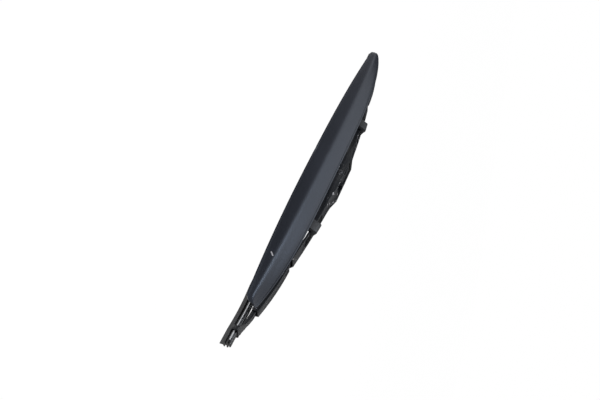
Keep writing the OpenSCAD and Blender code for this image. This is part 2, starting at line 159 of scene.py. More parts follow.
def select_edges(piece, test):
    """Selects, in edit mode, the edges whose two ends (mm, row frame) pass the test."""
    bpy.ops.mesh.select_mode(type="EDGE")
    mesh = bmesh.from_edit_mesh(piece.data)
    for edge in mesh.edges:
        edge.select_set(bool(test(edge.verts[0].co / MM, edge.verts[1].co / MM)))
    mesh.select_flush_mode()
    bmesh.update_edit_mesh(piece.data)


def turn_outward():
    """Turns all faces of the piece in edit mode outwards."""
    bpy.ops.mesh.select_all(action="SELECT")
    bpy.ops.mesh.normals_make_consistent(inside=False)


def apply_bevel(piece, width, segments, angle):
    """Rounds the edges that are sharper than the angle (degrees) by a width in mm."""
    bevel = piece.modifiers.new("edges", "BEVEL")
    bevel.width = width * MM
    bevel.segments = segments
    bevel.limit_method = "ANGLE"
    bevel.angle_limit = math.radians(angle)
    bevel.use_clamp_overlap = True
    bpy.context.view_layer.objects.active = piece
    bpy.ops.object.modifier_apply(modifier=bevel.name)


def close_piece(piece, material, smooth):
    """Puts the piece's place in its mesh, smooths it (degrees) and gives it its finish."""
    bpy.ops.object.select_all(action="DESELECT")
    piece.select_set(True)
    bpy.context.view_layer.objects.active = piece
    bpy.ops.object.transform_apply(location=True, rotation=True, scale=True)
    bpy.ops.object.shade_smooth_by_angle(angle=math.radians(smooth))
    piece.data.materials.clear()
    piece.data.materials.append(bpy.data.materials[material])


def draw_bar(name, section, x0, x1, steps, rounding=0.0):
    """Draws a section (mm) at x0, rounds its corners, and extrudes it to x1 in equal steps."""
    piece = start_piece(
        name, bpy.ops.mesh.primitive_circle_add,
        vertices=len(section), radius=MM, fill_type="NGON",
        location=row(x0, 0, section[0][1]), rotation=(math.pi / 2, 0, math.pi / 2),
    )
    bpy.ops.object.transform_apply(location=True, rotation=True, scale=True)
    for vertex, (y, height) in zip(piece.data.vertices, section):
        vertex.co = row(x0, y, height)
    bpy.ops.object.mode_set(mode="EDIT")
    bpy.ops.mesh.select_all(action="SELECT")
    if rounding:
        bpy.ops.mesh.bevel(
            offset=rounding * MM, segments=2, affect="VERTICES", clamp_overlap=True)
        bpy.ops.mesh.select_all(action="SELECT")
    stride = (x1 - x0) / steps * MM
    for _ in range(steps):
        bpy.ops.mesh.extrude_region_move(TRANSFORM_OT_translate={"value": (stride, 0, 0)})
    turn_outward()
    bpy.ops.object.mode_set(mode="OBJECT")
    return piece


# Materials


class Field:
    """A number that varies over a surface. Python's own signs add the Math nodes."""

    def __init__(self, finish, socket):
        self.finish = finish
        self.socket = socket

    def math(self, operation, *values):
        return self.finish.node(
            "ShaderNodeMath", {"operation": operation}, dict(enumerate(values)))

    def __add__(self, other):
        return self.math("ADD", self, other)

    __radd__ = __add__

    def __mul__(self, other):
        return self.math("MULTIPLY", self, other)

    __rmul__ = __mul__

    def __sub__(self, other):
        return self.math("SUBTRACT", self, other)

    def __rsub__(self, other):
        return self.math("SUBTRACT", other, self)

    def above(self, low, high):
        """0 below low, 1 above high, smooth between."""
        return self.finish.node(
            "ShaderNodeMapRange", {"interpolation_type": "SMOOTHSTEP"},
            {"Value": self, "From Min": low, "From Max": high},
        )

    def size(self):
        """The number without its sign."""
        return self.math("ABSOLUTE", self)


class Finish:
    """One material, built from its nodes on the piece's own Object coordinates."""

    def __init__(self, name):
        self.material = bpy.data.materials.new(name)
        self.material.use_nodes = True
        self.nodes = self.material.node_tree.nodes
        self.nodes.clear()
        self.shader = self.nodes.new("ShaderNodeBsdfPrincipled")
        output = self.nodes.new("ShaderNodeOutputMaterial")
        self.material.node_tree.links.new(self.shader.outputs[0], output.inputs[0])
        self.place = self.node("ShaderNodeTexCoord", output="Object")

    def node(self, kind, settings=None, sockets=None, output=0):
        """Adds a node with its settings, and gives its sockets their values or links."""
        made = self.nodes.new(kind)
        for name, value in (settings or {}).items():
            setattr(made, name, value)
        for name, value in (sockets or {}).items():
            self.put(made.inputs[name], value)
        return Field(self, made.outputs[output])

    def put(self, socket, value):
        if isinstance(value, Field):
            self.material.node_tree.links.new(value.socket, socket)
        else:
            socket.default_value = value

    def set(self, **values):
        """Sets sockets of the shader, such as base_color for Base Color."""
        for name, value in values.items():
            socket = self.shader.inputs[name.replace("_", " ").title().replace("Ior", "IOR")]
            self.put(socket, value)

    def stretched(self, x, y, z):
        """The piece's coordinates with each axis scaled, for patterns that run along it."""
        return self.node("ShaderNodeMapping", {}, {"Vector": self.place, "Scale": (x, y, z)})

    def noise(self, scale, detail=2.0, vector=None, roughness=0.5):
        return self.node(
            "ShaderNodeTexNoise", {},
            {"Vector": vector or self.place, "Scale": scale, "Detail": detail,
             "Roughness": roughness},
        )

    def axis(self, name):
        """One coordinate in metres."""
        return self.node("ShaderNodeSeparateXYZ", {}, {"Vector": self.place}, name)

    def mix(self, factor, a, b):
        """Colour a where the factor is 0, colour b where it is 1."""
        made = self.nodes.new("ShaderNodeMix")
        made.data_type = "RGBA"
        self.put(made.inputs["Factor"], factor)
        for socket, value in ((made.inputs[6], a), (made.inputs[7], b)):
            self.put(socket, value if isinstance(value, Field) else (*value, 1.0))
        return Field(self, made.outputs[2])

    def bump(self, height, distance, strength=1.0):
        """Height is from 0 to 1, and distance is its depth in mm."""
        self.set(normal=self.node(
            "ShaderNodeBump", {},
            {"Height": height, "Distance": distance * MM, "Strength": strength},
            "Normal",
        ))


def tinted(colour, gain, lift=0.0):
    """A colour made lighter or darker."""
    return tuple(c * gain + lift for c in colour)


def steel_paint(settings):
    """Satin black paint on pressed steel, dulled in patches, and with pale flecks that are partly
    chipped paint and partly painted glints.
    """
    paint = Finish("satin_black_steel")
    patches = paint.noise(45, 4, paint.stretched(0.35, 1, 1))
    grain = paint.noise(1700, 2)
    # Pale spots: chipped paint, drawn large so that they also serve as painted glints
    chips_and_glints = paint.noise(380, 4, paint.stretched(0.5, 1, 1)).above(0.63, 0.67)
    where = paint.noise(38, 2).above(0.44, 0.58)
    chip_glint_fleck = chips_and_glints * where * settings.wear_and_glints
    black = tuple(settings.steel_colour)
    dull = tinted(black, 1.7, 0.001)
    paint.set(
        base_color=paint.mix(
            chip_glint_fleck, paint.mix(patches.above(0.35, 0.7), black, dull), tuple(settings.fleck_and_glint_colour)
        ),
        roughness=0.30 + patches * 0.22 + chip_glint_fleck * 0.25,
        specular_ior_level=0.26,
    )
    paint.bump(grain - chip_glint_fleck * 0.8, 0.02, 0.5)
    return paint


# The wing's short pale line, from and to as (X, height) and its width in mm, and the tint of what
# the wing reflects
PALE_LINE_LOW = (153.4, 13.6)
PALE_LINE_HIGH = (157.8, 16.8)
PALE_LINE_WIDTH = 0.8
WING_TINT = (0.66, 0.79, 1.0)


def wing_plastic(settings):
    """Moulded slate-black plastic with a fine grain, handling marks and one short pale line."""
    plastic = Finish("moulded_wing")
    cloud = plastic.noise(22, 3, plastic.stretched(0.25, 1, 1))
    grain = plastic.noise(2600, 2)
    hair = plastic.noise(900, 2, plastic.stretched(0.04, 1, 1)).above(0.63, 0.72)
    slate = tuple(settings.wing_colour)
    light = tinted(slate, 1.35)
    line_mark = pale_line(plastic, PALE_LINE_LOW, PALE_LINE_HIGH, PALE_LINE_WIDTH)
    plastic.set(
        base_color=plastic.mix(
            line_mark * settings.wear_and_glints,
            plastic.mix(cloud.above(0.35, 0.7), slate, light),
            tuple(settings.fleck_and_glint_colour),
        ),
        roughness=0.30 + cloud * 0.08 + hair * 0.05,
        specular_ior_level=0.24,
        specular_tint=(*WING_TINT, 1.0),
    )
    plastic.bump(grain * 0.6 + hair * 0.2 - line_mark, 0.015, 0.5)
    return plastic


def pale_line(finish, low, high, width):
    """1 on a short ragged line between two points given as (X, height) in mm, else 0."""
    x, z = finish.axis("X"), finish.axis("Z")
    (x0, h0), (x1, h1) = low, high
    length = math.dist(low, high)
    ux, uz = (x1 - x0) / length, (h1 - h0) / length
    dx = x * (1 / MM) - x0
    dz = z * (1 / MM) - (h0 - PIN_HEIGHT)
    ragged = finish.noise(800, 2) * 0.8 - 0.4
    along = dx * ux + dz * uz
    across = (dx * uz - dz * ux + ragged).size()
    inside = (along - length / 2).size()
    off_line = across.above(width * 0.5, width)
    past_ends = inside.above(length * 0.4, length * 0.55)
    return (1 - off_line) * (1 - past_ends)


def small_plastic(settings):
    """Matt moulded plastic of the adapter, the pivots' liners and the saddles."""
    plastic = Finish("matt_moulding")
    cloud = plastic.noise(130, 3)
    grain = plastic.noise(2400, 2)
    black = tuple(settings.moulding_colour)
    plastic.set(
        base_color=plastic.mix(cloud.above(0.3, 0.7), black, tinted(black, 1.5)),
        roughness=0.42 + cloud * 0.12,
        specular_ior_level=0.25,
    )
    plastic.bump(grain, 0.02, 0.5)
    return plastic


def rivet_metal(settings):
    """Darkened steel, turned bright in places on the rivets' heads."""
    metal = Finish("darkened_rivet")
    rub = metal.noise(420, 3).above(0.5, 0.7)
    dark = tuple(settings.rivet_colour)
    metal.set(
        base_color=metal.mix(rub, dark, tinted(dark, 2.2)),
        metallic=0.6 + rub * 0.4,
        roughness=0.42 - rub * 0.12,
    )
    metal.bump(metal.noise(1500, 2), 0.01, 0.4)
    return metal


def strip_metal(settings):
    """Bright rolled steel with drawing lines along it."""
    metal = Finish("rolled_strip")
    lines = metal.noise(2200, 2, metal.stretched(0.02, 1, 1))
    dirt = metal.noise(90, 3).above(0.55, 0.75)
    bright = tuple(settings.strip_colour)
    metal.set(
        base_color=metal.mix(dirt * 0.5, bright, tinted(bright, 0.45)),
        metallic=1.0,
        roughness=0.24 + lines * 0.2,
    )
    metal.bump(lines, 0.006, 0.5)
    return metal


def wiper_compound(settings):
    """Black rubber with extrusion lines and a grey bloom on its lip."""
    rubber = Finish("wiper_compound")
    lines = rubber.noise(1500, 3, rubber.stretched(0.015, 1, 1))
    bloom = rubber.noise(70, 4, rubber.stretched(0.4, 1, 1)).above(0.42, 0.72)
    height = rubber.axis("Z") * (1 / MM) + PIN_HEIGHT
    low = 1 - height.above(4.6, 6.2)
    black = tuple(settings.rubber_colour)
    grey = tinted(black, 2.6, 0.02)
    rubber.set(
        base_color=rubber.mix(bloom * (0.25 + low * 0.6), black, grey),
        roughness=0.44 + bloom * 0.18,
        specular_ior_level=0.45,
    )
    rubber.bump(lines, 0.02, 0.5)
    return rubber


# Sizes and colours


class WiperLooks(bpy.types.PropertyGroup):
    """Colours, strength of the marks and painted glints, and small sizes of the dressed blade."""

    steel_colour: FloatVectorProperty(
        name="Steel paint", description="Colour of the satin paint on the levers",
        default=(0.0050, 0.0056, 0.0072), subtype="COLOR", min=0, max=1)
    wing_colour: FloatVectorProperty(
        name="Wing", description="Colour of the moulded wing",
        default=(0.0125, 0.0135, 0.0175), subtype="COLOR", min=0, max=1)
    moulding_colour: FloatVectorProperty(
        name="Small mouldings", description="Colour of the adapter, the liners and the saddles",
        default=(0.006, 0.0065, 0.008), subtype="COLOR", min=0, max=1)
    rivet_colour: FloatVectorProperty(
        name="Rivets", description="Colour of the darkened rivets",
        default=(0.03, 0.03, 0.034), subtype="COLOR", min=0, max=1)
    strip_colour: FloatVectorProperty(
        name="Strips", description="Colour of the flat steel strips",
        default=(0.62, 0.63, 0.65), subtype="COLOR", min=0, max=1)
    rubber_colour: FloatVectorProperty(
        name="Rubber", description="Colour of the wiping rubber",
        default=(0.012, 0.012, 0.013), subtype="COLOR", min=0, max=1)
    # Colour of the pale flecks, which are chipped paint and painted glints on the steel, and of
    # the wing's pale line
    fleck_and_glint_colour: FloatVectorProperty(
        name="Worn spots", description="Colour where paint is chipped or plastic is scratched",
        default=(0.34, 0.33, 0.34), subtype="COLOR", min=0, max=1)
    # Strength of the pale flecks on the steel, which are partly painted glints, and of the wing's
    # pale line
    wear_and_glints: FloatProperty(
        name="Wear", description="How strongly chips and scratches show",
        default=1.0, min=0, max=1, subtype="FACTOR")
    paint_edge: FloatProperty(
        name="Steel edge", description="Rounding of the pressed steel edges, in millimetres",
        default=0.18, min=0, max=0.3)
    rim_height: FloatProperty(
        name="Rim height", description="How far the wing's rim stands proud, in millimetres",
        default=0.3, min=0, max=0.8)
    rim_width: FloatProperty(
        name="Rim width", description="Width of the wing's rim, in millimetres",
        default=1.3, min=0.5, max=3)
    ridge_softness: FloatProperty(
        name="Ridge softness",
        description="Share of the wing's two faces that its ridge rounds off",
        default=0.34, min=0.1, max=0.9)
    wing_crown: FloatProperty(
        name="Wing crown", description="How far the wing's upper face bulges, in millimetres",
        default=0.5, min=0, max=1.5)
    rubber_rounding: FloatProperty(
        name="Rubber rounding", description="Radius of the rubber's corners, in millimetres",
        default=0.14, min=0, max=0.2)


# Width of the camera's sensor in mm, and the nearest and farthest that it sees in metres
SENSOR = 36
NEAREST, FARTHEST = 0.05, 50


class WiperStudio(bpy.types.PropertyGroup):
    """Camera and light."""

    azimuth: FloatProperty(
        name="Azimuth", description="Camera's way round the blade",
        default=math.radians(50.87), subtype="ANGLE")
    elevation: FloatProperty(
        name="Elevation", description="Camera's height over the horizon",
        default=math.radians(13.62), subtype="ANGLE")
    roll: FloatProperty(
        name="Roll", description="Turn of the picture about the line of sight",
        default=math.radians(100.79), subtype="ANGLE")
    distance: FloatProperty(
        name="Distance", description="Camera to the point it looks at",
        default=1.00689, unit="LENGTH")
    look_at: FloatVectorProperty(
        name="Look at", description="Point that the camera looks at",
        default=(0.04592, 0.0, -0.02628), subtype="TRANSLATION", unit="LENGTH")
    lens: FloatProperty(
        name="Lens", description=f"Focal length in millimetres on a {SENSOR} mm sensor",
        default=61.955, min=20, max=200)
    key_power: FloatProperty(
        name="Key lamp", description="Power of the soft lamp above", default=1.6, unit="POWER")
    near_power: FloatProperty(
        name="Near lamp", description="Power of the lamp that lights the ridge's near end",
        default=6.5, unit="POWER")
    fill_power: FloatProperty(
        name="Fill lamp", description="Power of the lamp beyond the blade's right end",
        default=1.5, unit="POWER")
    back_power: FloatProperty(
        name="Back lamp", description="Power of the lamp behind the blade",
        default=1.5, unit="POWER")
    sky: FloatProperty(
        name="Sky", description="Strength of the world's light on surfaces",
        default=0.7, min=0, max=2)
    card_distance: FloatProperty(
        name="Card distance", description="How far off the dark cards stand",
        default=0.7, unit="LENGTH")
    floor_gap: FloatProperty(
        name="Floor gap", description="Floor's distance below the rubber's lip",
        default=0.12, min=0.0, unit="LENGTH")


# Operators


class WIPER_OT_camera(bpy.types.Operator):
    """Places the camera at the photograph's viewing angle"""

    bl_idname = "wiper.camera"
    bl_label = "Camera"

    def execute(self, context):
        studio = context.scene.wiper_studio
        a, e, r = studio.azimuth, studio.elevation, studio.roll
        back = Vector((math.sin(a) * math.cos(e), -math.cos(a) * math.cos(e), math.sin(e)))
        level = Vector((math.cos(a), math.sin(a), 0))
        tilt = back.cross(level)
        right = level * math.cos(r) + tilt * math.sin(r)
        up = tilt * math.cos(r) - level * math.sin(r)
        data = bpy.data.cameras.new("camera")
        data.lens = studio.lens
        data.sensor_width = SENSOR
        data.clip_start, data.clip_end = NEAREST, FARTHEST
        camera = bpy.data.objects.new("camera", data)
        context.scene.collection.objects.link(camera)
        turn = Matrix((right, up, back)).transposed()
        place = Vector(studio.look_at) + back * studio.distance
        camera.matrix_world = Matrix.Translation(place) @ turn.to_4x4()
        context.scene.camera = camera
        return {"FINISHED"}


# The floor's size in metres, its own white, the glow that the camera and reflections see
# on it, and the share of that glow
FLOOR_SIZE = 8
FLOOR_WHITE = 0.8
FLOOR_GLOW = 1.02
GLOW_SHARE = 0.95

# Lamps: size, place and target in metres, and colour
WHITE = (1.0, 1.0, 1.0)
COOL_WHITE = (0.86, 0.92, 1.0)
LAMPS = {
    "key": ((0.9, 0.7), (-0.9, -0.3, 0.85), (0, 0, 0), COOL_WHITE),
    "near": ((0.4, 0.4), (-0.37, -0.60, 0.70), (0.18, 0, 0), COOL_WHITE),
    "fill": ((0.5, 0.5), (1.1, 0.3, 0.35), (0.1, 0, 0), WHITE),
    "back": ((0.9, 0.4), (-0.2, 1.1, 0.6), (0, 0, 0), WHITE),
}

# Dark cards: direction from the pin in degrees, width, lower and upper edge in metres, the
# glow of one end, and where it fades to black as shares of the width
CARDS = {
    "card_left": (219, 1.3, -0.15, 0.2, 0.9, (0.24, 0.47)),
    "card_behind": (141, 1.3, -0.15, 0.45, 0.0, (0.3, 0.5)),
}


def aim_lamp(name, power, size, place, target, colour):
    """A soft rectangular lamp at a place, turned to its target."""
    data = bpy.data.lights.new(name, "AREA")
    data.shape = "RECTANGLE"
    data.size, data.size_y = size
    data.energy = power
    data.color = colour
    lamp = bpy.data.objects.new(name, data)
    bpy.context.scene.collection.objects.link(lamp)
    lamp.location = place
    lamp.rotation_euler = (Vector(target) - Vector(place)).to_track_quat("-Z", "Y").to_euler()


def seen_rays(nodes, links):
    """1 for camera, glossy and transmission rays, 0 for the rays that light surfaces."""
    path = nodes.new("ShaderNodeLightPath")
    total = path.outputs["Is Camera Ray"]
    for name in ("Is Glossy Ray", "Is Transmission Ray"):
        add = nodes.new("ShaderNodeMath")
        add.operation = "ADD"
        add.use_clamp = True
        links.new(total, add.inputs[0])
        links.new(path.outputs[name], add.inputs[1])
        total = add.outputs[0]
    return total


class WIPER_OT_stage(bpy.types.Operator):
    """Lays the white floor, the white world and the soft lamps"""

    bl_idname = "wiper.stage"
    bl_label = "Floor and lamps"

    def execute(self, context):
        studio = context.scene.wiper_studio
        low = (LIP_TIP - PIN_HEIGHT) * MM - studio.floor_gap
        floor = start_piece(
            "floor", bpy.ops.mesh.primitive_plane_add, size=FLOOR_SIZE, location=(0, 0, low))
        bpy.ops.object.transform_apply(location=True, rotation=True, scale=True)
        floor.data.materials.append(self.floor_white())
        self.white_world(context.scene, studio.sky)
        for name, card in CARDS.items():
            self.dark_card(name, studio.card_distance, *card)
        for name, lamp in LAMPS.items():
            aim_lamp(name, getattr(studio, f"{name}_power"), *lamp)
        context.scene.view_settings.view_transform = "Standard"
        return {"FINISHED"}

    def dark_card(self, name, distance, direction, width, low, high, glow, fade):
        """A card that only reflections see, as photographers darken one side of a black thing."""
        a = math.radians(direction)
        card = start_piece(
            name, bpy.ops.mesh.primitive_plane_add, size=1,
            location=(distance * math.cos(a), distance * math.sin(a), (low + high) / 2),
            rotation=(math.pi / 2, 0, a + math.pi / 2))
        card.scale = (width, high - low, 1)
        bpy.ops.object.transform_apply(location=True, rotation=True, scale=True)
        material = bpy.data.materials.new(name)
        material.use_nodes = True
        nodes, links = material.node_tree.nodes, material.node_tree.links
        nodes.clear()
        shade = nodes.new("ShaderNodeEmission")
        place = nodes.new("ShaderNodeTexCoord")
        across = nodes.new("ShaderNodeSeparateXYZ")
        links.new(place.outputs["Generated"], across.inputs[0])
        level = nodes.new("ShaderNodeMapRange")
        level.interpolation_type = "SMOOTHSTEP"
        for key, value in (("From Min", fade[0]), ("From Max", fade[1]), ("To Min", glow),
                           ("To Max", 0.0)):
            level.inputs[key].default_value = value
        links.new(across.outputs["X"], level.inputs["Value"])
        links.new(level.outputs[0], shade.inputs["Strength"])
        output = nodes.new("ShaderNodeOutputMaterial")
        links.new(shade.outputs[0], output.inputs[0])
        card.data.materials.append(material)
        card.visible_camera = False
        card.visible_diffuse = False
        card.visible_shadow = False

    def floor_white(self):
        """Matt white that takes the lamps' light, under a white glow that hides its shade."""
        material = bpy.data.materials.new("floor_white")
        material.use_nodes = True
        nodes, links = material.node_tree.nodes, material.node_tree.links
        nodes.clear()
        matt = nodes.new("ShaderNodeBsdfDiffuse")
        matt.inputs["Color"].default_value = (FLOOR_WHITE, FLOOR_WHITE, FLOOR_WHITE, 1)
        glow = nodes.new("ShaderNodeEmission")
        glow.inputs["Strength"].default_value = FLOOR_GLOW
        share = nodes.new("ShaderNodeMath")
        share.operation = "MULTIPLY"
        share.inputs[1].default_value = GLOW_SHARE
        links.new(seen_rays(nodes, links), share.inputs[0])
        both = nodes.new("ShaderNodeMixShader")
        links.new(share.outputs[0], both.inputs[0])
        links.new(matt.outputs[0], both.inputs[1])
        links.new(glow.outputs[0], both.inputs[2])
        output = nodes.new("ShaderNodeOutputMaterial")
        links.new(both.outputs[0], output.inputs[0])
        return material

    def white_world(self, scene, sky):
        """White to the camera and to reflections, and as bright as sky to lit surfaces."""
        world = bpy.data.worlds.new("white_world")
        world.use_nodes = True
        nodes, links = world.node_tree.nodes, world.node_tree.links
        nodes.clear()
        level = nodes.new("ShaderNodeMath")
        level.operation = "MULTIPLY_ADD"
        level.inputs[1].default_value = 1 - sky
        level.inputs[2].default_value = sky
        links.new(seen_rays(nodes, links), level.inputs[0])
        ground = nodes.new("ShaderNodeBackground")
        ground.inputs["Color"].default_value = (1, 1, 1, 1)
        links.new(level.outputs[0], ground.inputs["Strength"])
        output = nodes.new("ShaderNodeOutputWorld")
        links.new(ground.outputs[0], output.inputs[0])
        scene.world = world


class WIPER_OT_finishes(bpy.types.Operator):
    """Mixes the finishes and puts them on the CAD pieces that stay"""

    bl_idname = "wiper.finishes"
    bl_label = "Finishes"

    SLOTS = {
        "matt_moulding": ["arm_adapter", "right_main_liner", "left_main_liner",
                          "right_outer_yoke_liner", "right_inner_yoke_liner",
                          "left_inner_yoke_liner", "left_outer_yoke_liner"],
        "darkened_rivet": ["arm_pin", "right_main_rivet", "left_main_rivet",
                           "right_outer_yoke_rivet", "right_inner_yoke_rivet",
                           "left_inner_yoke_rivet", "left_outer_yoke_rivet"],
    }

    def execute(self, context):
        looks = context.scene.wiper_looks
        for recipe in (steel_paint, wing_plastic, small_plastic, rivet_metal, strip_metal,
                       wiper_compound):
            recipe(looks)
        for material, names in self.SLOTS.items():
            for name in names:
                node = NODE[name]
                node.data.materials.clear()
                node.data.materials.append(bpy.data.materials[material])
        return {"FINISHED"}


# Corners of an outer yoke's arch: from its rivet, height in the solid and height here, in
# mm, and how near a point has to be to belong to one
ARCH = [(5.4, 14.87, 13.6), (12.15, 14.4, 13.2), (15.12, 13.22, 12.6)]
AT_CORNER = 0.3


def deepen_arch(piece):
    """Draws the walls of an outer yoke down to the bowed rubber."""
    for vertex in piece.data.vertices:
        x, height = abs(vertex.co.x / MM), vertex.co.z / MM + PIN_HEIGHT
        for reach, was, now in ARCH:
            if math.dist((abs(x - OUTER_YOKE_X), height), (reach, was)) < AT_CORNER:
                vertex.co.z = (now - PIN_HEIGHT) * MM


class WIPER_OT_levers(bpy.types.Operator):
    """Rounds the pressed edges of the bridge, the levers and the yokes"""

    bl_idname = "wiper.levers"
    bl_label = "Steel levers"

    PIECES = {
        "main_bridge": "bridge",
        "right_secondary": "right_lever",
        "left_secondary": "left_lever",
        "right_outer_yoke": "right_outer_yoke_body",
        "right_inner_yoke": "right_inner_yoke_body",
        "left_inner_yoke": "left_inner_yoke_body",
        "left_outer_yoke": "left_outer_yoke_body",
    }

    def execute(self, context):
        edge = context.scene.wiper_looks.paint_edge
        for node, body in self.PIECES.items():
            piece = copy_node(node + "_pressed", node)
            if "outer_yoke" in node:
                deepen_arch(piece)
            apply_bevel(piece, edge, segments=2, angle=40)
            close_piece(piece, "satin_black_steel", smooth=40)
            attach(piece, body)
            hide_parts(node)
        return {"FINISHED"}


# The wing, in mm. Three lines run along it, given as (across, height) at the middle, with
# how far they rise, drop or draw in towards the ends.
BAR_RADIUS = 10.0
WING_HALF = 220.0
WING_SHIFT = 3.0
WING_WALL = 2.0
UPPER_EDGE = (-10.6, 32.1)
UPPER_DROP = 13.0
RIDGE = (-23.2, 20.6)
RIDGE_DROP = 3.4
RIDGE_DRAW_IN = 1.0
LOWER_EDGE = (-27.0, 6.4)
LOWER_RISE = 4.7
LOWER_DRAW_IN = 4.5
LOWER_POWER = 2.4
END_SOFTNESS = 0.25
CROWN_SHARE = 0.7

# A shallow groove beside the rim: distance from it, and height
RIM_GROOVE = [(0.3, -0.12), (0.7, -0.1), (1.1, 0.0)]

# How finely the wing is divided: between the section's guide points, over its face between
# the rims, and along its length
CURVE_STEPS = 10
FACE_PARTS = 26
WING_STATIONS = 84

# The rounded ends: their length, the power of their curve, what each is short of the full
# length, the last station's share of the half length, and the point (across, height) that
# the section shrinks to
END_LENGTH = 11.0
BLUNT = 3.2
NEAR_SHORT = 2.4
FAR_SHORT = 2.6
LAST_STATION = 0.9985
WING_TIP = (-15.5, 19.0)


def smooth_curve(points, steps):
    """A curve without kinks that starts and ends on its outer points and follows the others."""
    first = tuple(2 * a - b for a, b in zip(points[0], points[1]))
    last = tuple(2 * a - b for a, b in zip(points[-1], points[-2]))
    guide = [first, *points, last]
    curve = []
    for i in range(len(points) - 1):
        for j in range(steps):
            t = j / steps
            weights = ((1 - t) ** 3, 3 * t ** 3 - 6 * t ** 2 + 4,
                       -3 * t ** 3 + 3 * t ** 2 + 3 * t + 1, t ** 3)
            curve.append(tuple(sum(w * p[k] for w, p in zip(weights, guide[i:i + 4])) / 6
                               for k in (0, 1)))
    return curve + [points[-1]]


def at_distance(curve, distance):
    """The point of the curve at a distance from its start, and its outward normal."""
    for p, q in zip(curve, curve[1:]):
        length = math.dist(p, q)
        if distance <= length or q is curve[-1]:
            share = min(1.0, distance / length)
            return between(p, q, share), ((q[1] - p[1]) / length, (p[0] - q[0]) / length)
        distance -= length


def wing_edge(s):
    """The upper edge at s (0 at the middle, 1 at an end) as (across, height) in mm."""
    return (UPPER_EDGE[0], UPPER_EDGE[1] - UPPER_DROP * s ** 4)


def wing_section(s, looks):
    """The closed section at s (0 at the middle, 1 at an end) as (across, height) in mm."""
    edge = wing_edge(s)
    ridge = (RIDGE[0] + RIDGE_DRAW_IN * s ** 4, RIDGE[1] - RIDGE_DROP * s ** 2)
    taper = s ** LOWER_POWER
    low = (LOWER_EDGE[0] + LOWER_DRAW_IN * taper, LOWER_EDGE[1] + LOWER_RISE * taper)
    soft = looks.ridge_softness + END_SOFTNESS * s ** 4
    shoulder = between(ridge, edge, soft)
    half_way = between(shoulder, edge, 0.5)
    crown = looks.wing_crown * CROWN_SHARE
    guide = [
        edge, (half_way[0] - crown, half_way[1] + crown), shoulder, ridge,
        between(ridge, low, soft), low,
    ]
    curve = smooth_curve(guide, CURVE_STEPS)
    length = sum(math.dist(p, q) for p, q in zip(curve, curve[1:]))
    width, height = looks.rim_width, looks.rim_height
    rim = [(0.0, height), (width * 0.5, height), (width, height)]
    rim += [(width + away, rise) for away, rise in RIM_GROOVE]
    start = rim[-1][0]
    face = length - 2 * start
    profile = rim + [(start + face * i / FACE_PARTS, 0.0) for i in range(1, FACE_PARTS)]
    profile += [(length - away, rise) for away, rise in reversed(rim)]
    outer, inner = [], []
    for distance, rise in profile:
        (y, h), (ny, nh) = at_distance(curve, distance)
        outer.append((y + rise * ny, h + rise * nh))
        inner.append((y - WING_WALL * ny, h - WING_WALL * nh))
    round_part = END_LENGTH / WING_HALF
    into_end = max(0.0, s - 1 + round_part) / round_part
    size = (1 - into_end ** BLUNT) ** (1 / BLUNT)
    return [between(WING_TIP, p, size) for p in outer + inner[::-1]]


class WIPER_OT_wing(bpy.types.Operator):
    """Models the moulded wing: a bar cut in stations, each moved to its section, with a rim"""

    bl_idname = "wiper.wing"
    bl_label = "Wing"

    def execute(self, context):
        looks = context.scene.wiper_looks
        count = len(wing_section(0, looks))
        wing = start_piece(
            "wing", bpy.ops.mesh.primitive_cylinder_add, vertices=count,
            radius=BAR_RADIUS * MM, depth=2 * WING_HALF * MM, end_fill_type="NGON",
            rotation=(0, math.pi / 2, 0))
        bpy.ops.object.transform_apply(location=True, rotation=True, scale=True)
        bpy.ops.object.mode_set(mode="EDIT")
        select_edges(wing, lambda p, q: abs(p.x - q.x) > 1)
        bpy.ops.mesh.subdivide(number_cuts=WING_STATIONS - 1)
        bpy.ops.object.mode_set(mode="OBJECT")
        self.place_rings(wing, looks)
        bpy.ops.object.mode_set(mode="EDIT")
        turn_outward()
        bpy.ops.object.mode_set(mode="OBJECT")
        close_piece(wing, "moulded_wing", smooth=38)
        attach(wing, "bridge")
        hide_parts("spoiler")
        return {"FINISHED"}

    def place_rings(self, wing, looks):
        """Moves each ring of the bar to its station, closer together towards the ends."""
        rings = {}
        for vertex in wing.data.vertices:
            rings.setdefault(round(vertex.co.x / MM, 2), []).append(vertex)
        stations = sorted(rings)
        for index, station in enumerate(stations):
            s = LAST_STATION * math.sin(math.pi / 2 * (2 * index / (len(stations) - 1) - 1))
            points = wing_section(abs(s), looks)
            reach = WING_HALF - (NEAR_SHORT if s > 0 else FAR_SHORT) * s ** 2
            ring = sorted(rings[station], key=lambda v: math.atan2(v.co.z, v.co.y))
            for vertex, (y, height) in zip(ring, points):
                vertex.co = row(s * reach - WING_SHIFT, y, height)


# A saddle's section as (across, height) in mm. Its root has heights from the wing's upper
# edge, and the rest has heights from the bridge's crown.
SADDLE_ROOT = [(-11.4, -4.6), (-11.0, -0.5)]
SADDLE_CREST = (-4.8, 3.7)
CREST_RADIUS = 2.0
CREST_ANGLES = (160, 140, 120, 100, 80, 60)
SADDLE_NOSE = [(-1.0, 2.7), (1.6, 0.9)]
SADDLE_SKIRT = -5.0
SADDLE_GAP = 0.06
SADDLE_EDGE = 0.45


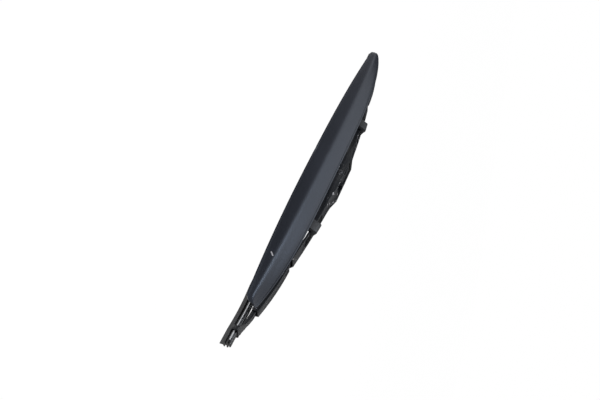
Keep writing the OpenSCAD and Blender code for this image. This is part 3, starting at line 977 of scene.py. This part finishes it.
class WIPER_OT_saddles(bpy.types.Operator):
    """Models the two saddle blocks that hook the wing over the bridge"""

    bl_idname = "wiper.saddles"
    bl_label = "Saddles"

    def execute(self, context):
        for side in (1, -1):
            self.saddle(side)
        return {"FINISHED"}

    def saddle(self, side):
        top = bridge_top(SADDLE_X)
        edge = wing_edge((SADDLE_X + side * WING_SHIFT) / WING_HALF)[1]
        section = [(y, edge + rise) for y, rise in SADDLE_ROOT]
        for a in map(math.radians, CREST_ANGLES):
            section.append((SADDLE_CREST[0] + CREST_RADIUS * math.cos(a),
                            top + SADDLE_CREST[1] + CREST_RADIUS * math.sin(a)))
        wall = -BRIDGE_HALF_W - SADDLE_GAP
        rest = SADDLE_NOSE + [
            (SADDLE_NOSE[-1][0], SADDLE_GAP), (wall, SADDLE_GAP), (wall, SADDLE_SKIRT)]
        section += [(y, top + rise) for y, rise in rest]
        name = "right_saddle" if side > 0 else "left_saddle"
        x = side * SADDLE_X - SADDLE_HALF
        piece = draw_bar(name, section, x, x + 2 * SADDLE_HALF, 4)
        for vertex in piece.data.vertices:
            vertex.co.z += (bridge_top(abs(vertex.co.x / MM)) - top) * MM
        apply_bevel(piece, SADDLE_EDGE, segments=3, angle=30)
        close_piece(piece, "matt_moulding", smooth=40)
        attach(piece, "bridge")


def bridge_top(x):
    """Height of the bridge's crown at x mm from the pin."""
    s = (x - SHOULDER_X) / (CROWN_END - SHOULDER_X)
    straight = SHOULDER_HEIGHT + (CROWN_END_HEIGHT - SHOULDER_HEIGHT) * s
    return straight + 4 * CROWN_BULGE * s * (1 - s)


def flex(x):
    """How far the unloaded rubber lifts between the outer yoke's claws, in mm."""
    along = abs(x)
    if along < OUTER_CLAW_IN:
        return 0.0
    if along < OUTER_CLAW_OUT:
        share = (along - OUTER_CLAW_IN) / (OUTER_CLAW_OUT - OUTER_CLAW_IN)
        return FLEX_RISE * math.sin(math.pi * share)
    return -FLEX_RISE * END_SAG * (along - OUTER_CLAW_OUT) / (RUBBER_END - OUTER_CLAW_OUT)


# Stretches of rubber and strip on one side: name, from, to, two bodies, and where a bend between
# them starts and ends
STRETCH_STEP = 3.5
STRETCHES = [
    ("outer", MAIN_PIVOT, RUBBER_END, "outer_yoke_body", "lever", OUTER_CLAW_IN, MAIN_PIVOT),
    ("inner", INNER_CLAW_IN, MAIN_PIVOT, "lever", "inner_yoke_body", MAIN_PIVOT, INNER_CLAW_OUT),
    ("middle", LEVER_GIVES, INNER_CLAW_IN, "inner_yoke_body", "lever", INNER_CLAW_IN,
     LEVER_GIVES),
    ("centre", 0.0, LEVER_GIVES, "lever", "bridge", LEVER_GIVES, 0.0),
]


def draw_stretches(label, section, end, rounding, material, node):
    """Models a long soft piece in stretches on both sides."""
    for side, hand in ((1, "right"), (-1, "left")):
        for part, x0, x1, body_a, body_b, start, stop in STRETCHES:
            x1 = min(x1, end)
            steps = max(4, round((x1 - x0) / STRETCH_STEP))
            low, high = sorted((side * x0, side * x1))
            piece = draw_bar(f"{label}_{hand}_{part}", section, low, high, steps, rounding)
            for vertex in piece.data.vertices:
                vertex.co.z += flex(vertex.co.x / MM) * MM
            close_piece(piece, material, smooth=35)
            names = [b if b == "bridge" else f"{hand}_{b}" for b in (body_a, body_b)]
            side * start * MM
            side * stop * MM
            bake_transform(piece)
            if part == "outer" and side > 0:
                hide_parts(node)


class WIPER_OT_rubber(bpy.types.Operator):
    """Models the wiping rubber in stretches"""

    bl_idname = "wiper.rubber"
    bl_label = "Rubber"

    def execute(self, context):
        section = RUBBER_HALF + [(-y, height) for y, height in reversed(RUBBER_HALF)]
        draw_stretches("rubber", section, RUBBER_END,
                       context.scene.wiper_looks.rubber_rounding,
                       "wiper_compound", "wiper_rubber")
        return {"FINISHED"}


class WIPER_OT_strips(bpy.types.Operator):
    """Models the two flat steel strips in the rubber's side slots"""

    bl_idname = "wiper.strips"
    bl_label = "Steel strips"

    def execute(self, context):
        mirrored = [(-y, height) for y, height in reversed(STRIP_SECTION)]
        for name, section in (("back_strip", STRIP_SECTION), ("front_strip", mirrored)):
            draw_stretches(name, section, STRIP_END, STRIP_ROUNDING,
                           "rolled_strip", name)
        return {"FINISHED"}


class WIPER_PT_panel(bpy.types.Panel):
    """Lists the sizes, the colours and the operators"""

    bl_idname = "WIPER_PT_panel"
    bl_label = "Wiper blade"
    bl_space_type = "VIEW_3D"
    bl_region_type = "UI"
    bl_category = "Wiper blade"

    def draw(self, context):
        for group in (context.scene.wiper_looks, context.scene.wiper_studio):
            box = self.layout.box()
            for name in group.bl_rna.properties.keys():
                if name not in ("rna_type", "name"):
                    box.prop(group, name)
        for operator in OPERATORS:
            self.layout.operator(operator.bl_idname)


GROUPS = (WiperLooks, WiperStudio)
OPERATORS = (WIPER_OT_camera, WIPER_OT_stage, WIPER_OT_finishes, WIPER_OT_levers,
             WIPER_OT_wing, WIPER_OT_saddles, WIPER_OT_rubber, WIPER_OT_strips)


def register():
    for cls in (*GROUPS, *OPERATORS, WIPER_PT_panel):
        bpy.utils.register_class(cls)
    bpy.types.Scene.wiper_looks = PointerProperty(type=WiperLooks)
    bpy.types.Scene.wiper_studio = PointerProperty(type=WiperStudio)


def unregister():
    del bpy.types.Scene.wiper_looks
    del bpy.types.Scene.wiper_studio
    for cls in reversed((*GROUPS, *OPERATORS, WIPER_PT_panel)):
        bpy.utils.unregister_class(cls)


def main():
    register()
    bpy.ops.wiper.camera()
    bpy.ops.wiper.stage()
    bpy.ops.wiper.finishes()
    bpy.ops.wiper.levers()
    bpy.ops.wiper.wing()
    bpy.ops.wiper.saddles()
    bpy.ops.wiper.rubber()
    bpy.ops.wiper.strips()


if __name__ == "__main__":
    main()
